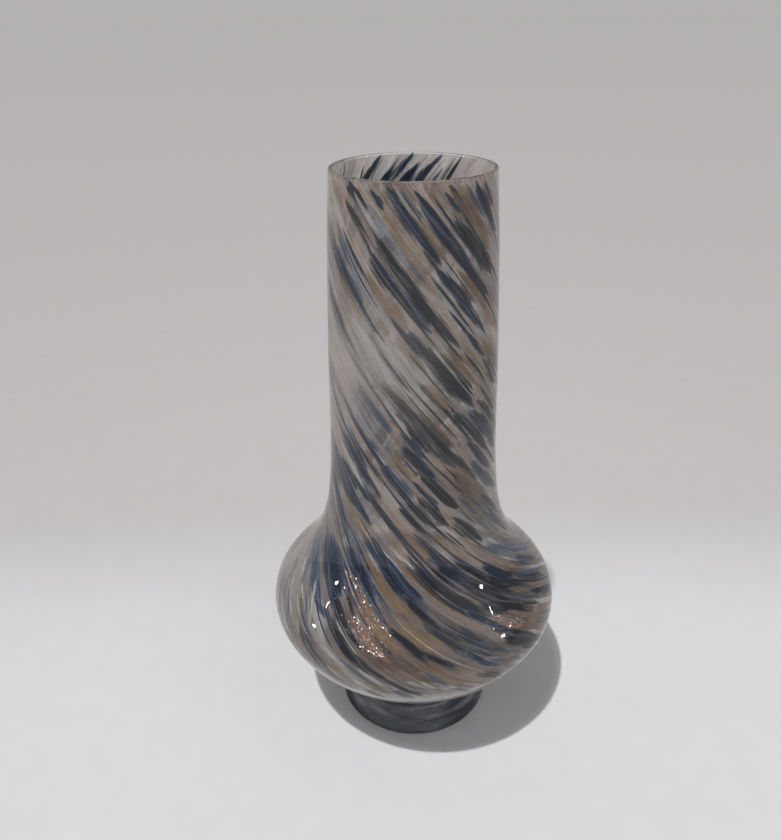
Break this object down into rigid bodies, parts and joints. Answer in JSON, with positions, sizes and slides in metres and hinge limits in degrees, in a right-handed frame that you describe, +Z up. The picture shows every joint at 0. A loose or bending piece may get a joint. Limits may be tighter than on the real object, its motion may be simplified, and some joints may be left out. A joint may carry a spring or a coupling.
{
  "type": "vase",
  "caption": "Hand blown glass vase: a squat bulb under a tall, slightly tapered neck, with twisted dark, amber and milky streaks cased in clear glass, on a round foot.",
  "frame": {"origin": "centre of the foot's underside, on the surface the vase stands on", "axes": "+Z up along the vase's axis, -Y towards the front, where the copper glitter lies left and right of the middle of the bulb, +X to the right seen from the front"},
  "size_m": [0.1546, 0.1546, 0.3],
  "materials": {
    "clear_glass": "polished, fire finished",
    "foot_glass": "polished, ground flat below",
    "navy_glass": "polished",
    "charcoal_glass": "polished",
    "steel_blue_glass": "polished",
    "amber_glass": "polished",
    "opal_glass": "milky",
    "copper_aventurine": "glittering"
  },
  "bodies": {
    "root": {"foot": "foot_glass", "inner_gather": "clear_glass", "outer_casing": "clear_glass", "navy_streak_01": "navy_glass", "navy_streak_02": "navy_glass", "navy_streak_03": "navy_glass", "navy_streak_04": "navy_glass", "navy_streak_05": "navy_glass", "navy_streak_06": "navy_glass", "navy_streak_07": "navy_glass", "navy_streak_08": "navy_glass", "navy_streak_09": "navy_glass", "navy_streak_10": "navy_glass", "navy_streak_11": "navy_glass", "navy_streak_12": "navy_glass", "navy_streak_13": "navy_glass", "navy_streak_14": "navy_glass", "navy_streak_15": "navy_glass", "navy_streak_16": "navy_glass", "navy_streak_17": "navy_glass", "navy_streak_18": "navy_glass", "charcoal_streak_01": "charcoal_glass", "charcoal_streak_02": "charcoal_glass", "charcoal_streak_03": "charcoal_glass", "charcoal_streak_04": "charcoal_glass", "charcoal_streak_05": "charcoal_glass", "charcoal_streak_06": "charcoal_glass", "charcoal_streak_07": "charcoal_glass", "charcoal_streak_08": "charcoal_glass", "charcoal_streak_09": "charcoal_glass", "charcoal_streak_10": "charcoal_glass", "charcoal_streak_11": "charcoal_glass", "charcoal_streak_12": "charcoal_glass", "charcoal_streak_13": "charcoal_glass", "charcoal_streak_14": "charcoal_glass", "charcoal_streak_15": "charcoal_glass", "charcoal_streak_16": "charcoal_glass", "charcoal_streak_17": "charcoal_glass", "charcoal_streak_18": "charcoal_glass", "charcoal_streak_19": "charcoal_glass", "charcoal_streak_20": "charcoal_glass", "steel_streak_01": "steel_blue_glass", "steel_streak_02": "steel_blue_glass", "steel_streak_03": "steel_blue_glass", "steel_streak_04": "steel_blue_glass", "steel_streak_05": "steel_blue_glass", "steel_streak_06": "steel_blue_glass", "steel_streak_07": "steel_blue_glass", "amber_streak_01": "amber_glass", "amber_streak_02": "amber_glass", "amber_streak_03": "amber_glass", "amber_streak_04": "amber_glass", "amber_streak_05": "amber_glass", "amber_streak_06": "amber_glass", "amber_streak_07": "amber_glass", "amber_streak_08": "amber_glass", "opal_streak_01": "opal_glass", "aventurine_streak_01": "copper_aventurine", "aventurine_streak_02": "copper_aventurine", "aventurine_streak_03": "copper_aventurine"}
  },
  "joints": []
}
